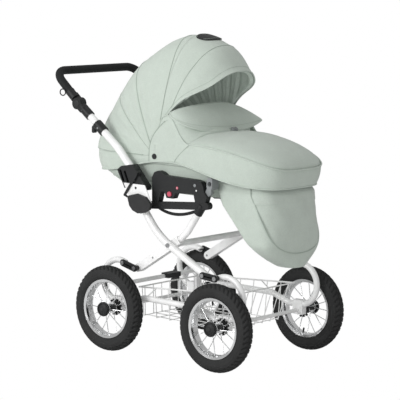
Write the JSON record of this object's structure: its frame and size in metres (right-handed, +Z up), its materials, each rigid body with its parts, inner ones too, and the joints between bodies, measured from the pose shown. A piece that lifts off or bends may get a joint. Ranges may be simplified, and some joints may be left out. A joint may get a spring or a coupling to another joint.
{
  "type": "bassinet pram",
  "caption": "Bassinet pram with spring-hung white frame, spoked air wheels, folding handle, wire basket and sage cloth seat unit with hood, apron and foot boot",
  "frame": {"origin": "middle of the bounding box on the ground", "axes": "X forward towards the foot end, Y to the left, Z up"},
  "size_m": [1.0348, 0.6212, 1.1775],
  "materials": {
    "tyre_rubber": "matte",
    "chrome_metal": "polished",
    "black_plastic": "fine grain",
    "white_tube": "satin",
    "bolt_steel": "brushed",
    "black_tube": "satin",
    "foam_grip": "matte foam",
    "green_cloth": "woven",
    "tub_cloth": "woven",
    "pad_cloth": "woven",
    "grey_plastic": "satin",
    "red_plastic": "gloss",
    "black_leather": "grained"
  },
  "bodies": {
    "chassis": {"axles": "white_tube", "axle_brackets": "white_tube", "side_rails": "white_tube", "c_springs": "white_tube", "spring_links": "black_plastic", "frame_bolts": "bolt_steel", "front_legs": "white_tube", "rear_legs": "white_tube", "seat_posts": "white_tube", "cross_tube": "white_tube", "seat_mounts": "black_plastic", "brake_bearings": "white_tube", "wire_basket": "white_tube"},
    "wheel_fl": {"tyre_fl": "tyre_rubber", "rim_fl": "chrome_metal", "spokes_fl": "chrome_metal", "hub_fl": "black_plastic"},
    "wheel_fr": {"tyre_fr": "tyre_rubber", "rim_fr": "chrome_metal", "spokes_fr": "chrome_metal", "hub_fr": "black_plastic"},
    "wheel_rl": {"tyre_rl": "tyre_rubber", "rim_rl": "chrome_metal", "spokes_rl": "chrome_metal", "hub_rl": "black_plastic"},
    "wheel_rr": {"tyre_rr": "tyre_rubber", "rim_rr": "chrome_metal", "spokes_rr": "chrome_metal", "hub_rr": "black_plastic"},
    "brake": {"brake_bar": "white_tube", "brake_pedal": "black_plastic"},
    "handle": {"hinge_plates": "white_tube", "hinge_covers": "black_plastic", "hub_sleeves": "black_plastic", "handle_tubes": "white_tube", "knuckle_sockets": "black_plastic"},
    "bar": {"handlebar": "black_tube", "handle_grip": "foam_grip"},
    "latch_l": {"latch_left": "black_plastic"},
    "latch_r": {"latch_right": "black_plastic"},
    "hook_l": {"hook_left": "black_plastic"},
    "hook_r": {"hook_right": "black_plastic"},
    "seat": {"seat_shell": "tub_cloth", "seat_rim": "tub_cloth", "seat_pad": "pad_cloth", "seat_cover": "green_cloth", "apron_band": "green_cloth", "apron_top": "green_cloth", "apron_flap": "green_cloth", "boot": "green_cloth", "seat_adapters": "black_plastic", "bar_sockets": "grey_plastic", "hood_rear": "green_cloth", "hood_mid": "green_cloth", "hood_pivots": "black_plastic"},
    "hood": {"hood_front": "green_cloth", "hood_bows": "black_plastic", "hood_grip": "black_leather"},
    "button_l": {"button_left": "red_plastic"},
    "button_r": {"button_right": "red_plastic"}
  },
  "joints": [
    {"name": "wheel_spin_front_left", "type": "hinge", "parent": "chassis", "child": "wheel_fl", "pos_m": [0.3504, 0.27, 0.16], "axis": [0, 1, 0], "continuous": true},
    {"name": "wheel_spin_front_right", "type": "hinge", "parent": "chassis", "child": "wheel_fr", "pos_m": [0.3504, -0.27, 0.16], "axis": [0, 1, 0], "continuous": true},
    {"name": "wheel_spin_rear_left", "type": "hinge", "parent": "chassis", "child": "wheel_rl", "pos_m": [-0.1656, 0.27, 0.16], "axis": [0, 1, 0], "continuous": true},
    {"name": "wheel_spin_rear_right", "type": "hinge", "parent": "chassis", "child": "wheel_rr", "pos_m": [-0.1656, -0.27, 0.16], "axis": [0, 1, 0], "continuous": true},
    {"name": "brake_press", "type": "hinge", "parent": "chassis", "child": "brake", "pos_m": [-0.1306, 0, 0.252], "axis": [0, 1, 0], "range_deg": [0, 4.4]},
    {"name": "seat_release", "type": "slide", "parent": "chassis", "child": "seat", "axis": [0.866, 0, 0.5], "range_m": [0, 1.16]},
    {"name": "handle_fold", "type": "hinge", "parent": "chassis", "child": "handle", "pos_m": [-0.0456, 0, 0.553], "axis": [0, 1, 0], "range_deg": [0, 100]},
    {"name": "handle_tilt", "type": "hinge", "parent": "handle", "child": "bar", "pos_m": [-0.3696, 0, 0.906], "axis": [0, 1, 0], "range_deg": [-40, 30]},
    {"name": "latch_pull_left", "type": "slide", "parent": "handle", "child": "latch_l", "axis": [-0.8, 0, 0.6], "range_m": [0, 0.012], "stiffness_N_per_m": 400, "springref_m": -0.01},
    {"name": "hook_swing_left", "type": "hinge", "parent": "handle", "child": "hook_l", "pos_m": [-0.0556, 0.249, 0.672], "axis": [0, 1, 0], "range_deg": [0, 35]},
    {"name": "button_press_left", "type": "slide", "parent": "seat", "child": "button_l", "axis": [0, -1, 0], "range_m": [0, 0.004], "stiffness_N_per_m": 600, "springref_m": -0.004},
    {"name": "latch_pull_right", "type": "slide", "parent": "handle", "child": "latch_r", "axis": [-0.8, 0, 0.6], "range_m": [0, 0.012], "stiffness_N_per_m": 400, "springref_m": -0.01},
    {"name": "hook_swing_right", "type": "hinge", "parent": "handle", "child": "hook_r", "pos_m": [-0.0556, -0.249, 0.672], "axis": [0, 1, 0], "range_deg": [0, 35]},
    {"name": "button_press_right", "type": "slide", "parent": "seat", "child": "button_r", "axis": [0, 1, 0], "range_m": [0, 0.004], "stiffness_N_per_m": 600, "springref_m": -0.004},
    {"name": "hood_fold", "type": "hinge", "parent": "seat", "child": "hood", "pos_m": [-0.0126, 0, 0.735], "axis": [0, -1, 0], "range_deg": [0, 50], "deforming": ["hood_mid"]}
  ],
  "couplings": [
    {"joint": "handle_fold", "follows": "seat_release", "rad_per_m": 1.5041}
  ]
}
